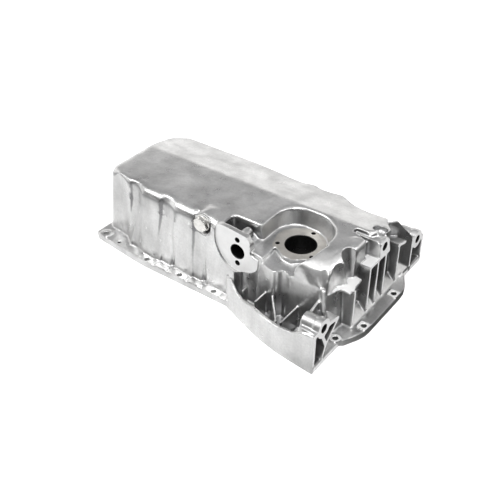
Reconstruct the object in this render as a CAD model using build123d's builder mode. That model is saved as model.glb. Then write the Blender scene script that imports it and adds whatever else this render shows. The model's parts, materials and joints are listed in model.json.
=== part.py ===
from build123d import *
import math
import os

os.makedirs("parts", exist_ok=True)

# Oil pan of a four-cylinder engine, lying with its mating face down on z = 0.
# x runs along the crankshaft: the timing end is at -x, the gearbox end at +x.
# The near side, with the drain plug and the return pad, is at -y.

# Overall sizes
pan_height = 109.0
flange_t = 9.0
wall = 4.0
timing_x = -208.5
face_x = 190.5
seal_bulge = 18.0
near_y = -99.7
far_y = 105.7
skirt_reach = 137.5

# Bolts through the mating flange
bolt_pitch = 58.0
first_bolt_x = -104.5
side_bolts = 5
bolt_inset = 5.0
bolt_hole_d = 7.0
pad_rise = 1.2
pad_length = 26.0
pad_depth = 12.0
pad_shift = 2.0
bar_length = 19.0
bar_shift = 27.5
end_bolt_x = -193.5
end_bolt_inset = 17.0
dowel_x = -163.8
dowel_inset = 12.6
dowel_d = 4.5
bolt_xs = [first_bolt_x + bolt_pitch * i for i in range(side_bolts)]

# Bolts of the seal flange at the gearbox end
seal_y = 1.0
seal_bolt_setback = 7.0
seal_bolt_half = 38.5
corner_bolt_x = 185.0
corner_bolt_half = 78.5

# Sump: the deep box above the flange
left_base_x = -205.0
right_base_x = 176.5
far_base_y = 95.5
end_draft = 9.5
side_draft = 7.0
roll_r = 10.0
far_roll_r = 25.0
recess_roll_r = 26.0
dome_r = 29.0
ridge_y = 16.5
slope_angle = 12.5
tooth_offset = 42.0
tooth_step = 1.6
recess_run = 13.0
ramp_run = 27.0
recess_base = 2.2
recess_top = 3.0
groove_top_z = 54.0
shoulder_z = pan_height - roll_r
dome_z = pan_height - dome_r
recess_z = pan_height - recess_roll_r
over = 60.0

# Drain plug, its seat and its washer
plug_x = -16.0
plug_z = 97.0
plug_boss_r = 13.5
plug_seat_y = -76.0
plug_boss_depth = 18.0
plug_thread_d = 14.0
plug_hex = 19.0
plug_flange_d = 22.0
plug_flange_t = 2.5
plug_head_h = 8.0
plug_shank = 14.0
washer_d = 20.0
washer_t = 1.5
thread_gap = 0.3

# Return pad with its port and two screw holes
return_y = -82.0
return_x = 41.3
return_z = 79.3
return_port_d = 20.0
return_pitch = 35.0
return_screw_d = 6.6
return_plate = 9.0
return_screw_depth = 22.0
return_screw_boss_r = 6.5
return_body_r = 13.5
pocket_depth = 22.0
pocket_left = 26.5
pocket_back_y = -53.0

# Sensor recess, its machined ring, bore and three screw holes
sensor_x = 101.0
sensor_y = -30.5
ring_z = 86.0
ring_r = 34.5
ring_step = 3.0
sensor_bore_d = 40.0
sensor_pcd = 58.0
sensor_screws = 3
sensor_screw_d = 5.0
sensor_screw_depth = 11.0
sensor_screw_boss_r = 6.0
recess_left = 45.0
recess_right = 41.0
recess_far = 43.0
recess_front = 21.0
recess_left_r = 30.0
recess_right_r = 39.0
apron_fall = 5.0
apron_left = 22.0
apron_right = 24.0

# Bosses that take the gearbox bolts
boss_r = 11.5
boss_hole_d = 10.5
boss_length = 27.0
mid_hole_depth = 16.0
mid_collar = 5.0
rail_t = 2.2
near_boss_y = -115.8
near_boss_z = 56.0
mid_boss_y = 20.0
mid_boss_z = 92.0
far_boss_y = 118.7
far_boss_z = 46.2

# Ribs, ledges, webs and skirts at the gearbox end
end_wall_x = 167.5
rib_t = 3.2
web_t = 3.0
skirt_t = 5.0
skirt_start_x = 36.0
ledge_t = 4.0
white_ledge_z = 67.0
side_ledge_z = 80.0
web_z = 41.0

near_bolt_y = near_y + bolt_inset
far_bolt_y = far_y - bolt_inset
plug_axis = Plane(origin=(plug_x, plug_seat_y, plug_z), x_dir=(1, 0, 0), z_dir=(0, -1, 0))
return_face = Plane(origin=(return_x, return_y, return_z), x_dir=(1, 0, 0), z_dir=(0, -1, 0))
gearbox_face = Plane(origin=(face_x, 0, 0), x_dir=(0, 1, 0), z_dir=(1, 0, 0))


def lerp(a, b, t):
    """Value a share t of the way from a to b."""
    return a + (b - a) * t


def sump_stations():
    """Corner stations of the sump: base, shoulder, crown and shoulder height."""
    base = [near_y + rise for rise in (16.5, 12.8, 11.2, 10.7)]
    top = [near_y + rise for rise in (27.2, 21.2, 18.2, 16.7)]
    crown = near_y + 32.2
    left_top = left_base_x + end_draft
    right_top = right_base_x - 6.0
    corner = [
        ((left_base_x, -52.0), (left_top, -50.0), (left_base_x + 20.0, -46.0)),
        ((left_base_x + 2.0, -60.0), (left_top + 2.5, -58.0), (left_base_x + 21.5, -52.0)),
        ((left_base_x + 8.0, -65.0), (left_top + 11.0, -63.0), (left_base_x + 28.0, -56.5)),
        ((-178.0, -66.5), (-178.0, -62.5), (-172.0, crown)),
        ((-162.0, -70.5), (-162.0, -67.5), (-160.0, crown)),
    ]
    near = [(low, high, top_point, shoulder_z) for low, high, top_point in corner]
    for k in range(3):
        edge = bolt_xs[k] - tooth_offset
        floor = base[k] + recess_base
        shelf = top[k] + recess_top
        teeth = [
            (0.0, base[k], top[k], shoulder_z),
            (tooth_step, floor, shelf, recess_z),
            (recess_run, floor - 0.5, shelf - 1.0, recess_z),
            (ramp_run, base[k + 1] + 1.0, top[k + 1] + 1.0, shoulder_z),
        ]
        for run, low, high, start in teeth:
            x = edge + run
            near.append(((x, low), (x, high), (x, crown), start))
    flutes = [
        (return_x - 1.3, base[3], top[3]),
        (return_x + 5.7, near_y + 19.2, near_y + 21.2),
        (return_x + 30.7, near_y + 17.2, near_y + 19.2),
        (sensor_x - 14.0, near_y + 12.7, near_y + 15.2),
        (sensor_x - 2.0, near_y + 9.7, near_y + 12.7),
        (sensor_x + 7.0, near_y + 19.2, near_y + 21.2),
        (sensor_x + 19.0, near_y + 15.7, near_y + 18.2),
    ]
    for x, low, high in flutes:
        near.append(((x, low), (x, high), (x, crown), shoulder_z))
    stations = near
    dome = [
        ((-26.5, 11.2), (-27.5, 14.7), (-45.5, 47.7)),
        ((-12.5, 13.2), (-15.5, 17.2), (-36.5, 52.7)),
        ((-4.5, 20.7), (-8.0, 25.7), (-28.5, 58.7)),
        ((0.0, 33.7), (-4.5, 37.7), (-23.5, 67.7)),
    ]
    for corner in dome:
        low, high, top_point = [(right_base_x + x, near_y + y) for x, y in corner]
        stations.append((low, high, top_point, dome_z))
    gearbox_end = [
        ((right_base_x, 2.0), (right_top, 2.0), (right_top - 15.5, 2.0)),
        ((right_base_x + 2.0, 24.0), (right_base_x + 3.0, 24.0), (right_base_x - 1.0, 24.0)),
        ((right_base_x + 3.0, 30.0), (right_base_x + 10.5, 29.0), (right_base_x + 11.0, 29.0)),
        ((right_base_x + 3.0, 42.0), (right_base_x + 10.0, 41.0), (right_base_x + 10.5, 40.0)),
        ((right_base_x + 2.0, 66.0), (right_top + 2.0, 58.0), (right_top - 8.5, 54.0)),
        ((right_base_x - 3.0, 86.0), (right_top - 4.0, 69.0), (right_top - 16.5, 58.0)),
    ]
    for low, high, top_point in gearbox_end:
        stations.append((low, high, top_point, shoulder_z))
    far_top = far_base_y - side_draft
    far_side = [
        (bolt_xs[4] + 21.5, 7.5, 19.0),
        (bolt_xs[4] + 1.0, 6.0, 16.5),
        (bolt_xs[4] - 10.5, 5.0, 14.0),
        (bolt_xs[3] + 32.5, 3.0, 5.5),
        (bolt_xs[3] + 20.5, 0.5, -2.5),
        (bolt_xs[3] + 3.5, 3.5, 2.0),
        (bolt_xs[3] - 9.5, 3.5, 3.0),
        (bolt_xs[3] - 23.5, 0.5, -3.0),
        (bolt_xs[2] + 16.5, 3.5, 4.0),
        (bolt_xs[2] - 6.5, 3.0, 2.5),
        (bolt_xs[2] - 26.5, 1.0, -1.0),
        (bolt_xs[1] - 13.5, 0.0, -4.0),
        (left_base_x + 27.0, 0.0, -4.0),
    ]
    for x, low, high in far_side:
        y = far_top - high
        stations.append(((x, far_base_y - low), (x, y), (x, y - 16.0), pan_height - far_roll_r))
    timing_end = [
        ((left_base_x + 12.0, far_base_y - 4.0), (left_top + 12.5, far_base_y - 11.0), (left_top + 14.5, 74.0)),
        ((left_base_x + 3.0, far_base_y - 14.0), (left_top + 3.5, far_base_y - 20.0), (left_top + 12.0, 69.0)),
        ((left_base_x, far_base_y - 28.0), (left_top, far_base_y - 32.0), (left_top + 10.5, 60.0)),
    ]
    for low, high, top_point in timing_end:
        stations.append((low, high, top_point, shoulder_z))
    return stations


def outline_at(height):
    """Corner points of the sump's outer section at a height."""
    points = []
    for low, high, top_point, start in sump_stations():
        if height <= start:
            t = (height - flange_t) / (start - flange_t)
            points.append((lerp(low[0], high[0], t), lerp(low[1], high[1], t)))
        else:
            s = min((height - start) / (pan_height - start), 1.0)
            t = 1.0 - math.sqrt(1.0 - s * s)
            points.append((lerp(high[0], top_point[0], t), lerp(high[1], top_point[1], t)))
    return points


def near_wall_y(x, height):
    """Outer face of the near wall at a place along the pan and a height."""
    points = outline_at(height)
    for (ax, ay), (bx, by) in zip(points, points[1:]):
        if ax <= x <= bx and by < 0.0:
            return lerp(ay, by, (x - ax) / (bx - ax))
    return near_y


def inset(points, distance):
    """Counter-clockwise polygon moved inward by a distance, mitred at its corners."""
    moved = []
    count = len(points)
    for i in range(count):
        ax, ay = points[i - 1]
        bx, by = points[i]
        cx, cy = points[(i + 1) % count]
        first = math.hypot(bx - ax, by - ay)
        second = math.hypot(cx - bx, cy - by)
        n1 = (-(by - ay) / first, (bx - ax) / first)
        n2 = (-(cy - by) / second, (cx - bx) / second)
        k = distance / (1.0 + n1[0] * n2[0] + n1[1] * n2[1])
        moved.append((bx + (n1[0] + n2[0]) * k, by + (n1[1] + n2[1]) * k))
    return moved


def skin(sections):
    """Ruled solid through polygons given as (height, points)."""
    with BuildPart() as solid:
        for height, points in sections:
            with BuildSketch(Plane.XY.offset(height)):
                Polygon(*points, align=None)
        loft(ruled=True)
    return solid.part


def strip(start, end, thickness):
    """Corner points of a thick straight line between two points."""
    dx = end[0] - start[0]
    dy = end[1] - start[1]
    length = math.hypot(dx, dy)
    ox = -dy / length * thickness / 2.0
    oy = dx / length * thickness / 2.0
    return [
        (start[0] + ox, start[1] + oy),
        (start[0] - ox, start[1] - oy),
        (end[0] - ox, end[1] - oy),
        (end[0] + ox, end[1] + oy),
    ]


def above_slope(drop):
    """Everything above the inclined far plane, lowered by a drop."""
    rise = math.tan(math.radians(slope_angle))
    edge_y = far_base_y + over
    edge_z = pan_height - drop - (edge_y - ridge_y) * rise
    with BuildPart() as wedge:
        with BuildSketch(Plane.YZ.offset(timing_x - over)):
            Polygon(
                (ridge_y, pan_height - drop),
                (edge_y, edge_z),
                (edge_y, pan_height + over),
                (ridge_y, pan_height + over),
                align=None,
            )
        extrude(amount=face_x - timing_x + 2.0 * over)
    return wedge.part


def sensor_recess(grow):
    """U-shaped recess round the sensor, open to the near side, grown by a wall."""
    open_y = near_y - 5.0
    with BuildPart() as recess:
        for height, spread in ((ring_z - grow, 0.0), (pan_height + 1.0, 1.0)):
            left = sensor_x - recess_left + 3.5 * (1.0 - spread) - grow
            right = sensor_x + recess_right - 7.0 * (1.0 - spread) + grow
            far = sensor_y + recess_far - 7.5 * (1.0 - spread) + grow
            flank = 15.0 * spread + grow
            with BuildSketch(Plane.XY.offset(height)):
                Polygon(
                    (left, open_y),
                    (sensor_x + recess_front + flank * 0.5, open_y),
                    (sensor_x + recess_front + flank, sensor_y - 41.5),
                    (right, sensor_y - 7.5),
                    (right, far),
                    (left, far),
                    align=None,
                )
                corners = vertices().group_by(Axis.Y)[-1].sort_by(Axis.X)
                fillet(corners[0], radius=recess_left_r)
                corners = vertices().group_by(Axis.Y)[-1].sort_by(Axis.X)
                fillet(corners[-1], radius=recess_right_r)
        loft(ruled=True)
    return recess.part


def apron_cut(grow):
    """Lower apron in front of the sensor ring, falling towards the near side."""
    left = sensor_x - apron_left
    right = sensor_x + apron_right
    front_y = near_y - 5.0
    ring_front = sensor_y - ring_r + 0.5
    apron_z = ring_z - ring_step - grow
    with BuildPart() as apron:
        with BuildSketch():
            Polygon(
                (left, front_y),
                (right + 0.5, front_y),
                (right, ring_front + 13.0),
                (right - 15.5, ring_front),
                (right - 28.5, ring_front + 1.0),
                (left - 1.5, ring_front + 11.5),
                (left, ring_front - 0.5),
                align=None,
            )
            offset(amount=max(grow, 0.01))
        extrude(amount=pan_height)
        with BuildSketch(Plane.YZ.offset(left - over)):
            Polygon(
                (front_y - over, apron_z - apron_fall),
                (return_y, apron_z - apron_fall),
                (sensor_y, apron_z),
                (sensor_y + over, apron_z),
                (sensor_y + over, -over),
                (front_y - over, -over),
                align=None,
            )
        extrude(amount=right - left + 2.0 * over, mode=Mode.SUBTRACT)
    return apron.part


def pad_pocket(grow):
    """Open pocket behind the return pad."""
    left = return_x - pocket_left - grow
    right = sensor_x - recess_left + 5.0
    front_y = return_y + return_plate - grow
    with BuildPart() as pocket:
        with BuildSketch(Plane.XY.offset(pan_height - pocket_depth - grow)):
            Polygon(
                (left, front_y),
                (right, front_y),
                (right, pocket_back_y + grow),
                (left + 3.0, pocket_back_y + grow),
                (left, pocket_back_y + grow - 3.0),
                align=None,
            )
        extrude(amount=pan_height)
    return pocket.part


def edge_scoops(grow):
    """Two round scoops and a blind pocket in the top edge at the gearbox end."""
    places = [
        (face_x - 12.5, -51.0, white_ledge_z, 17.5),
        (face_x - 19.0, -17.0, side_ledge_z, 15.0),
    ]
    with BuildPart() as scoops:
        for x, y, floor, radius in places:
            with BuildSketch(Plane.XY.offset(floor - grow)):
                with Locations((x, y)):
                    Circle(radius + grow)
                with Locations((x + 15.0, y)):
                    Rectangle(30.0, 2.0 * (radius + grow))
            extrude(amount=pan_height)
        with BuildSketch(Plane.XY.offset(side_ledge_z + 2.0 - grow)):
            with Locations((face_x - 14.5, 32.5)):
                Circle(9.5 + grow)
        extrude(amount=pan_height)
    return scoops.part


def boss_slot(grow):
    """Slot in the top plane behind the middle gearbox boss."""
    with BuildPart() as slot:
        with BuildSketch(Plane.XY.offset(mid_boss_z + 6.5 - grow)):
            with Locations((face_x - boss_length, mid_boss_y - 12.0)):
                RectangleRounded(21.0 + 2.0 * grow, 9.0 + 2.0 * grow, 3.0)
        extrude(amount=pan_height)
    return slot.part


def skirt_outline():
    """Plan points of the near skirt from the flange edge to the gearbox face."""
    reach = near_y + skirt_reach
    run = face_x - skirt_start_x
    shares = [(0.0, 0.0), (0.032, 0.065), (0.078, 0.127), (0.2, 0.325), (0.34, 0.526),
              (0.466, 0.688), (0.6375, 0.847), (0.79, 0.92), (1.0, 1.0)]
    return [(skirt_start_x + run * a, near_y - reach * b) for a, b in shares]


def mirrored(points):
    """Plan points carried over to the far side of the pan."""
    reach = skirt_reach - far_y
    share = reach / (near_y + skirt_reach)
    return [(x, far_y + (near_y - y) * share) for x, y in points]


# Closed forms that the casting is built from
levels = [flange_t - 1.0, dome_z, shoulder_z, lerp(shoulder_z, pan_height, 0.55),
          lerp(shoulder_z, pan_height, 0.9), pan_height]
lid = (pan_height - wall) / pan_height
outer_sump = skin([(z, outline_at(z)) for z in levels])
hollow = [(-1.0, inset(outline_at(flange_t), wall))]
hollow += [(z * lid, inset(outline_at(z), wall)) for z in levels[1:]]
inner_sump = skin(hollow)

with BuildPart() as cavity:
    add(inner_sump)
    for cut in (above_slope, sensor_recess, apron_cut, pad_pocket, edge_scoops, boss_slot):
        add(cut(wall), mode=Mode.SUBTRACT)

# Skirts that carry the gearbox, near and far, with their sloping top edges
near_curve = skirt_outline()
far_curve = mirrored(near_curve)
near_edge = [(30.0, 66.0), (40.0, 64.0), (44.0, 55.0), (50.0, 46.0), (57.0, 39.0), (70.0, 36.0),
             (90.0, 40.0), (135.0, 41.0), (157.0, 45.0), (172.0, 54.0), (face_x, near_boss_z + 2.0)]
far_edge = [(30.0, 24.0), (60.0, 24.0), (100.0, 28.0), (150.0, 34.0), (face_x, far_boss_z)]
with BuildPart() as skirts:
    with BuildSketch():
        for curve, side in ((near_curve, 1.0), (far_curve, -1.0)):
            inner = [(x, y + side * skirt_t) for x, y in reversed(curve)]
            Polygon(*curve, *inner, align=None)
    extrude(amount=pan_height)
    for edge, side in ((near_edge, 1.0), (far_edge, -1.0)):
        with BuildSketch(Plane.XZ):
            Polygon(*edge, (face_x + 5.0, pan_height + 5.0), (25.0, pan_height + 5.0), align=None)
        extrude(amount=side * (skirt_reach + over), mode=Mode.SUBTRACT)

# The casting: one piece, built outside first, then hollowed, then machined
with BuildPart() as pan:
    add(outer_sump)
    for cut in (above_slope, sensor_recess, apron_cut, pad_pocket, edge_scoops, boss_slot):
        add(cut(0.0), mode=Mode.SUBTRACT)

    # Mating flange with the skirt floors and the bulge of the seal flange
    with BuildSketch():
        bulge_x = face_x + seal_bulge
        Polygon(
            (timing_x, near_y + 22.0),
            (timing_x, near_y + 14.0),
            (timing_x + 6.5, near_y + 10.2),
            (first_bolt_x - 25.0, near_y + 1.7),
            (first_bolt_x - 1.0, near_y),
            *near_curve,
            (face_x, seal_y - 78.0),
            (face_x + 4.5, seal_y - 75.0),
            (bulge_x - 4.5, seal_y - 56.5),
            (bulge_x - 1.0, seal_y - 46.0),
            (bulge_x, seal_y - 36.0),
            (bulge_x, seal_y + 42.0),
            (bulge_x - 1.0, seal_y + 55.0),
            (bulge_x - 4.5, seal_y + 66.0),
            (face_x + 3.0, seal_y + 84.5),
            (face_x, seal_y + 85.5),
            *reversed(far_curve),
            (first_bolt_x - 1.0, far_y),
            (first_bolt_x - 25.0, far_y - 1.7),
            (timing_x + 6.5, far_y - 10.2),
            (timing_x, far_y - 14.0),
            align=None,
        )
    extrude(amount=flange_t)

    # Raised pads round the bolts and low bars between them
    with BuildSketch(Plane.XY.offset(flange_t - 1.0)):
        for x in bolt_xs[:3]:
            with Locations((x - pad_shift, near_bolt_y + 0.5)):
                Rectangle(pad_length, pad_depth - 1.0)
            with Locations((x + bar_shift, near_bolt_y)):
                Rectangle(bar_length if x < 0.0 else 8.0, 8.0)
        for x in bolt_xs:
            with Locations((x, far_bolt_y - 0.5)):
                Rectangle(pad_length, pad_depth - 1.0)
        for side in (-1.0, 1.0):
            with Locations((face_x + seal_bulge - seal_bolt_setback, seal_y + side * seal_bolt_half)):
                Rectangle(13.0, 13.0)
            with Locations((corner_bolt_x, seal_y + side * corner_bolt_half)):
                Circle(7.0)
        with Locations((end_bolt_x, near_y + end_bolt_inset), (end_bolt_x, far_y - end_bolt_inset)):
            Circle(8.0)
    extrude(amount=1.0 + pad_rise)

    # Skirts and the webs of the side pockets
    add(skirts.part)
    with BuildSketch():
        for side, curve in ((1.0, near_curve), (-1.0, far_curve)):
            wall_y = near_y + 20.0 if side > 0 else far_base_y - 4.0
            inner_y = [y + side * skirt_t / 2.0 for _, y in curve]
            Polygon(*strip((63.5, inner_y[2]), (63.5, inner_y[2] + side * 10.0), web_t), align=None)
            Polygon(*strip((88.0, inner_y[3]), (88.0, wall_y), web_t), align=None)
            Polygon(*strip((92.0, wall_y), (129.0, inner_y[5]), web_t), align=None)
            Polygon(*strip((135.0, inner_y[5]), (135.0, wall_y), web_t), align=None)
    extrude(amount=web_z)

    # End wall of the near pocket, higher towards the sump
    with BuildSketch(Plane.YZ.offset(end_wall_x - wall)):
        Polygon(
            (-skirt_reach + 4.5, 0.0),
            (-skirt_reach + 4.5, near_boss_z - 6.0),
            (near_boss_y - 6.0, near_boss_z + 2.0),
            (near_y + 14.0, near_boss_z + 13.0),
            (near_y + 14.0, 0.0),
            align=None,
        )
    extrude(amount=wall)

    # Gearbox face: ribs, fork web, ledges and blocks drawn on the face
    with BuildSketch(gearbox_face):
        for y, top in ((-47.0, 66.0), (-12.2, 77.0), (7.4, 77.0), (27.0, 77.0), (63.6, 70.0), (104.0, 56.0)):
            with Locations((y, top / 2.0)):
                Rectangle(rib_t, top)
        fork = (near_boss_y + 6.5, near_boss_z - 30.0)
        Polygon(*strip((near_boss_y - 2.7, 2.0), fork, 4.0), align=None)
        Polygon(*strip(fork, (near_boss_y + 32.5, near_boss_z - 5.5), 4.0), align=None)
        Polygon(*strip(fork, (near_boss_y - 4.0, near_boss_z - 6.0), 5.0), align=None)
        Polygon(*strip((near_boss_y, near_boss_z), (near_boss_y + 32.5, near_boss_z - 5.5), 5.0), align=None)
        Polygon(*strip((-skirt_reach + 4.5, near_boss_z), (near_boss_y, near_boss_z - 2.0), 5.0), align=None)
        Polygon(*strip((far_boss_y, far_boss_z), (far_boss_y - 14.7, far_boss_z + 8.0), 5.0), align=None)
        Polygon(*strip((far_boss_y, far_boss_z), (skirt_reach - 6.5, far_boss_z - 6.0), 6.0), align=None)
    extrude(amount=-(face_x - end_wall_x))
    with BuildSketch(gearbox_face):
        Polygon((-14.0, side_ledge_z), (-14.0, side_ledge_z - ledge_t), (36.0, side_ledge_z - ledge_t),
                (mid_boss_y + boss_r, mid_boss_z), (mid_boss_y - boss_r + 1.5, mid_boss_z + 4.0),
                (mid_boss_y - boss_r + 1.0, side_ledge_z), align=None)
        Polygon((60.5, side_ledge_z - 8.5), (83.0, side_ledge_z - 15.0),
                (82.0, side_ledge_z - 19.0), (59.5, side_ledge_z - 12.5), align=None)
    extrude(amount=-(face_x - end_wall_x + 4.0))
    with BuildSketch(Plane.XY.offset(white_ledge_z - ledge_t)):
        with BuildLine():
            Polyline((face_x - 1.0, -58.5), (face_x - 4.0, -24.0), (face_x - 23.0, -20.0), (face_x - 23.0, -61.0))
            ThreePointArc((face_x - 23.0, -61.0), (face_x - 11.0, -56.0), (face_x - 1.0, -58.5))
        make_face()
    extrude(amount=ledge_t)

    with BuildSketch(Plane.XZ.offset(seal_y + 46.0)):
        Polygon((end_wall_x, flange_t - 1.0), (face_x - 0.5, flange_t - 1.0), (face_x - 0.5, flange_t + 1.5),
                (face_x - 11.0, flange_t + 13.0), (end_wall_x, flange_t + 13.0), align=None)
    extrude(amount=-149.0)

    # Bosses for the gearbox bolts, and rails behind the middle one
    with BuildSketch(gearbox_face):
        with Locations((near_boss_y, near_boss_z), (far_boss_y, far_boss_z)):
            Circle(boss_r)
    extrude(amount=-boss_length)
    with BuildSketch(gearbox_face):
        with Locations((near_boss_y, near_boss_z), (far_boss_y, far_boss_z)):
            Circle(boss_r + 1.2)
    extrude(amount=-9.0)
    with BuildSketch(gearbox_face):
        with Locations((mid_boss_y, mid_boss_z)):
            Circle(boss_r)
    extrude(amount=-mid_collar)
    with BuildSketch(gearbox_face):
        with Locations((mid_boss_y, mid_boss_z)):
            Circle(boss_r - 3.0)
    extrude(amount=-mid_hole_depth - 4.0)
    with BuildSketch(gearbox_face.offset(-1.0)):
        with Locations((mid_boss_y - 4.0, mid_boss_z - 2.0)):
            Rectangle(15.0, 2.0 * boss_r)
    extrude(amount=-boss_length)
    with BuildSketch(gearbox_face.offset(-mid_collar)):
        with Locations((mid_boss_y - boss_r + rail_t / 2.0, mid_boss_z), (mid_boss_y + 2.0, mid_boss_z)):
            Rectangle(rail_t, 2.0 * boss_r)
    extrude(amount=-boss_length - 4.0)

    # Diagonal rib from the dome's corner down to the near boss
    post = Plane(origin=(face_x - 26.0, near_y + 19.0, 0), x_dir=(0.62, -0.785, 0), z_dir=(-0.785, -0.62, 0))
    with BuildSketch(post):
        Polygon((0.0, 4.0), (0.0, 78.0), (10.0, 88.0), (14.0, 87.0), (27.0, 66.0), (27.0, 4.0), align=None)
    extrude(amount=2.25, both=True)

    # Far rib that runs from the sump's corner down to the far boss
    corner_rib = Plane(origin=(face_x - 24.0, 74.0, 0), x_dir=(0.61, 0.793, 0), z_dir=(0.793, -0.61, 0))
    with BuildSketch(corner_rib):
        Polygon((-7.0, 4.0), (-7.0, 88.0), (13.0, 88.0), (39.3, 55.0), (39.3, 4.0), align=None)
    extrude(amount=rib_t / 2.0, both=True)

    # Return pad, boss of the drain plug
    with BuildSketch(return_face):
        with BuildLine():
            Polyline((-18.3, 30.3), (-32.2, 27.4), (-33.4, 2.2), (-23.4, -17.9), (-3.5, -29.8), (11.6, -26.0))
            ThreePointArc((11.6, -26.0), (28.0, -18.0), (31.7, -1.1))
            ThreePointArc((31.7, -1.1), (22.0, 2.0), (19.5, 9.6))
            ThreePointArc((19.5, 9.6), (18.5, 20.0), (11.1, 27.3))
            Line((11.1, 27.3), (-18.3, 30.3))
        make_face()
    extrude(amount=-return_plate)
    with BuildSketch(plug_axis):
        Circle(plug_boss_r)
    extrude(amount=-plug_boss_depth)

    # Hollow inside
    add(cavity.part, mode=Mode.SUBTRACT)

    # Bodies behind the port and the screw holes, and the drain thread
    with BuildSketch(return_face):
        Circle(return_body_r)
    extrude(amount=-(pocket_back_y - return_y + 2.0))
    with BuildSketch(return_face):
        with GridLocations(0.0, return_pitch, 1, 2):
            Circle(return_screw_boss_r)
    extrude(amount=-(return_screw_depth + 4.0))
    with BuildSketch(Plane.XY.offset(ring_z - sensor_screw_depth - 4.0)):
        with Locations((sensor_x, sensor_y)):
            Circle(sensor_bore_d / 2.0 + 5.0)
            with PolarLocations(sensor_pcd / 2.0, sensor_screws, 90.0):
                Circle(sensor_screw_boss_r)
    extrude(amount=sensor_screw_depth)
    with BuildSketch(plug_axis):
        Circle(plug_boss_r - 2.0)
    extrude(amount=-plug_boss_depth)

    # Machined faces: spot face of the plug and the return pad
    with BuildSketch(plug_axis):
        Circle(plug_boss_r + 1.0)
    extrude(amount=30.0, mode=Mode.SUBTRACT)
    with BuildSketch(return_face):
        with BuildLine():
            Polyline((-18.3, 30.3), (-32.2, 27.4), (-33.4, 2.2), (-23.4, -17.9), (-3.5, -29.8), (11.6, -26.0))
            ThreePointArc((11.6, -26.0), (28.0, -18.0), (31.7, -1.1))
            ThreePointArc((31.7, -1.1), (22.0, 2.0), (19.5, 9.6))
            ThreePointArc((19.5, 9.6), (18.5, 20.0), (11.1, 27.3))
            Line((11.1, 27.3), (-18.3, 30.3))
        make_face()
    extrude(amount=20.0, mode=Mode.SUBTRACT)

    # Tapered grooves that clear the socket at the second and third bolt
    for x in (bolt_xs[1] - 19.5, bolt_xs[2] - 22.5):
        foot = near_wall_y(x, flange_t) - 1.8
        lean = near_wall_y(x, groove_top_z) - 0.2 - foot
        groove = Plane(origin=(x, foot, flange_t), x_dir=(1, 0, 0), z_dir=(0, lean, groove_top_z - flange_t))
        with Locations(groove):
            Cone(4.0, 0.4, groove_top_z - flange_t, align=(Align.CENTER, Align.CENTER, Align.MIN), mode=Mode.SUBTRACT)

    # Holes down through the flange
    with BuildSketch(Plane.XY.offset(-1.0)):
        with Locations([(x, y) for x in bolt_xs for y in (near_bolt_y, far_bolt_y)]):
            Circle(bolt_hole_d / 2.0)
        with Locations((end_bolt_x, near_y + end_bolt_inset), (end_bolt_x, far_y - end_bolt_inset)):
            Circle(bolt_hole_d / 2.0)
        with Locations((dowel_x, near_y + dowel_inset), (dowel_x, far_y - dowel_inset)):
            Circle(dowel_d / 2.0)
        for side in (-1.0, 1.0):
            with Locations((face_x + seal_bulge - seal_bolt_setback, seal_y + side * seal_bolt_half)):
                Circle(bolt_hole_d / 2.0)
            with Locations((corner_bolt_x, seal_y + side * corner_bolt_half)):
                Circle(bolt_hole_d / 2.0)
    extrude(amount=flange_t + pad_rise + 2.0, mode=Mode.SUBTRACT)

    # Bolt holes of the gearbox bosses
    with BuildSketch(gearbox_face):
        with Locations((near_boss_y, near_boss_z), (far_boss_y, far_boss_z)):
            Circle(boss_hole_d / 2.0)
    extrude(amount=-(boss_length + 1.0), mode=Mode.SUBTRACT)
    with BuildSketch(gearbox_face):
        with Locations((mid_boss_y, mid_boss_z)):
            Circle(boss_hole_d / 2.0)
    extrude(amount=-mid_hole_depth, mode=Mode.SUBTRACT)

    # Sensor bore and its screw holes
    with BuildSketch(Plane.XY.offset(ring_z + 1.0)):
        with Locations((sensor_x, sensor_y)):
            Circle(sensor_bore_d / 2.0)
    extrude(amount=-(sensor_screw_depth + 10.0), mode=Mode.SUBTRACT)
    with BuildSketch(Plane.XY.offset(ring_z)):
        with Locations((sensor_x, sensor_y)):
            with PolarLocations(sensor_pcd / 2.0, sensor_screws, 90.0):
                Circle(sensor_screw_d / 2.0)
    extrude(amount=-sensor_screw_depth, mode=Mode.SUBTRACT)

    # Return port, its screw holes and the drain hole
    with BuildSketch(return_face):
        Circle(return_port_d / 2.0)
    extrude(amount=-(pocket_back_y - return_y + 12.0), mode=Mode.SUBTRACT)
    with BuildSketch(return_face):
        with GridLocations(0.0, return_pitch, 1, 2):
            Circle(return_screw_d / 2.0)
    extrude(amount=-return_screw_depth, mode=Mode.SUBTRACT)
    with BuildSketch(plug_axis):
        Circle(plug_thread_d / 2.0 + thread_gap)
    extrude(amount=-(plug_boss_depth + 10.0), mode=Mode.SUBTRACT)

pan.part.label = "pan_casting"
export_step(pan.part, "parts/pan_casting.step")

# Flat washer under the plug's collar
with BuildPart() as washer:
    with BuildSketch(plug_axis):
        Circle(washer_d / 2.0)
        Circle(plug_thread_d / 2.0 + thread_gap, mode=Mode.SUBTRACT)
    extrude(amount=washer_t)

washer.part.label = "sealing_washer"
export_step(washer.part, "parts/sealing_washer.step")

# Drain plug: collar, hexagon head and shank
collar_face = plug_axis.offset(washer_t)
with BuildPart() as plug:
    with BuildSketch(collar_face):
        Circle(plug_flange_d / 2.0)
    extrude(amount=plug_flange_t)
    with BuildSketch(collar_face.offset(plug_flange_t)):
        RegularPolygon(plug_hex / 2.0, 6, major_radius=False, rotation=12.0)
    extrude(amount=plug_head_h)
    chamfer(edges().group_by(Axis.Y)[0], length=0.8)
    with BuildSketch(collar_face):
        Circle(plug_thread_d / 2.0)
    extrude(amount=-(plug_shank + washer_t))
    chamfer(edges().group_by(Axis.Y)[-1], length=1.2)

plug.part.label = "drain_plug"
export_step(plug.part, "parts/drain_plug.step")

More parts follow.
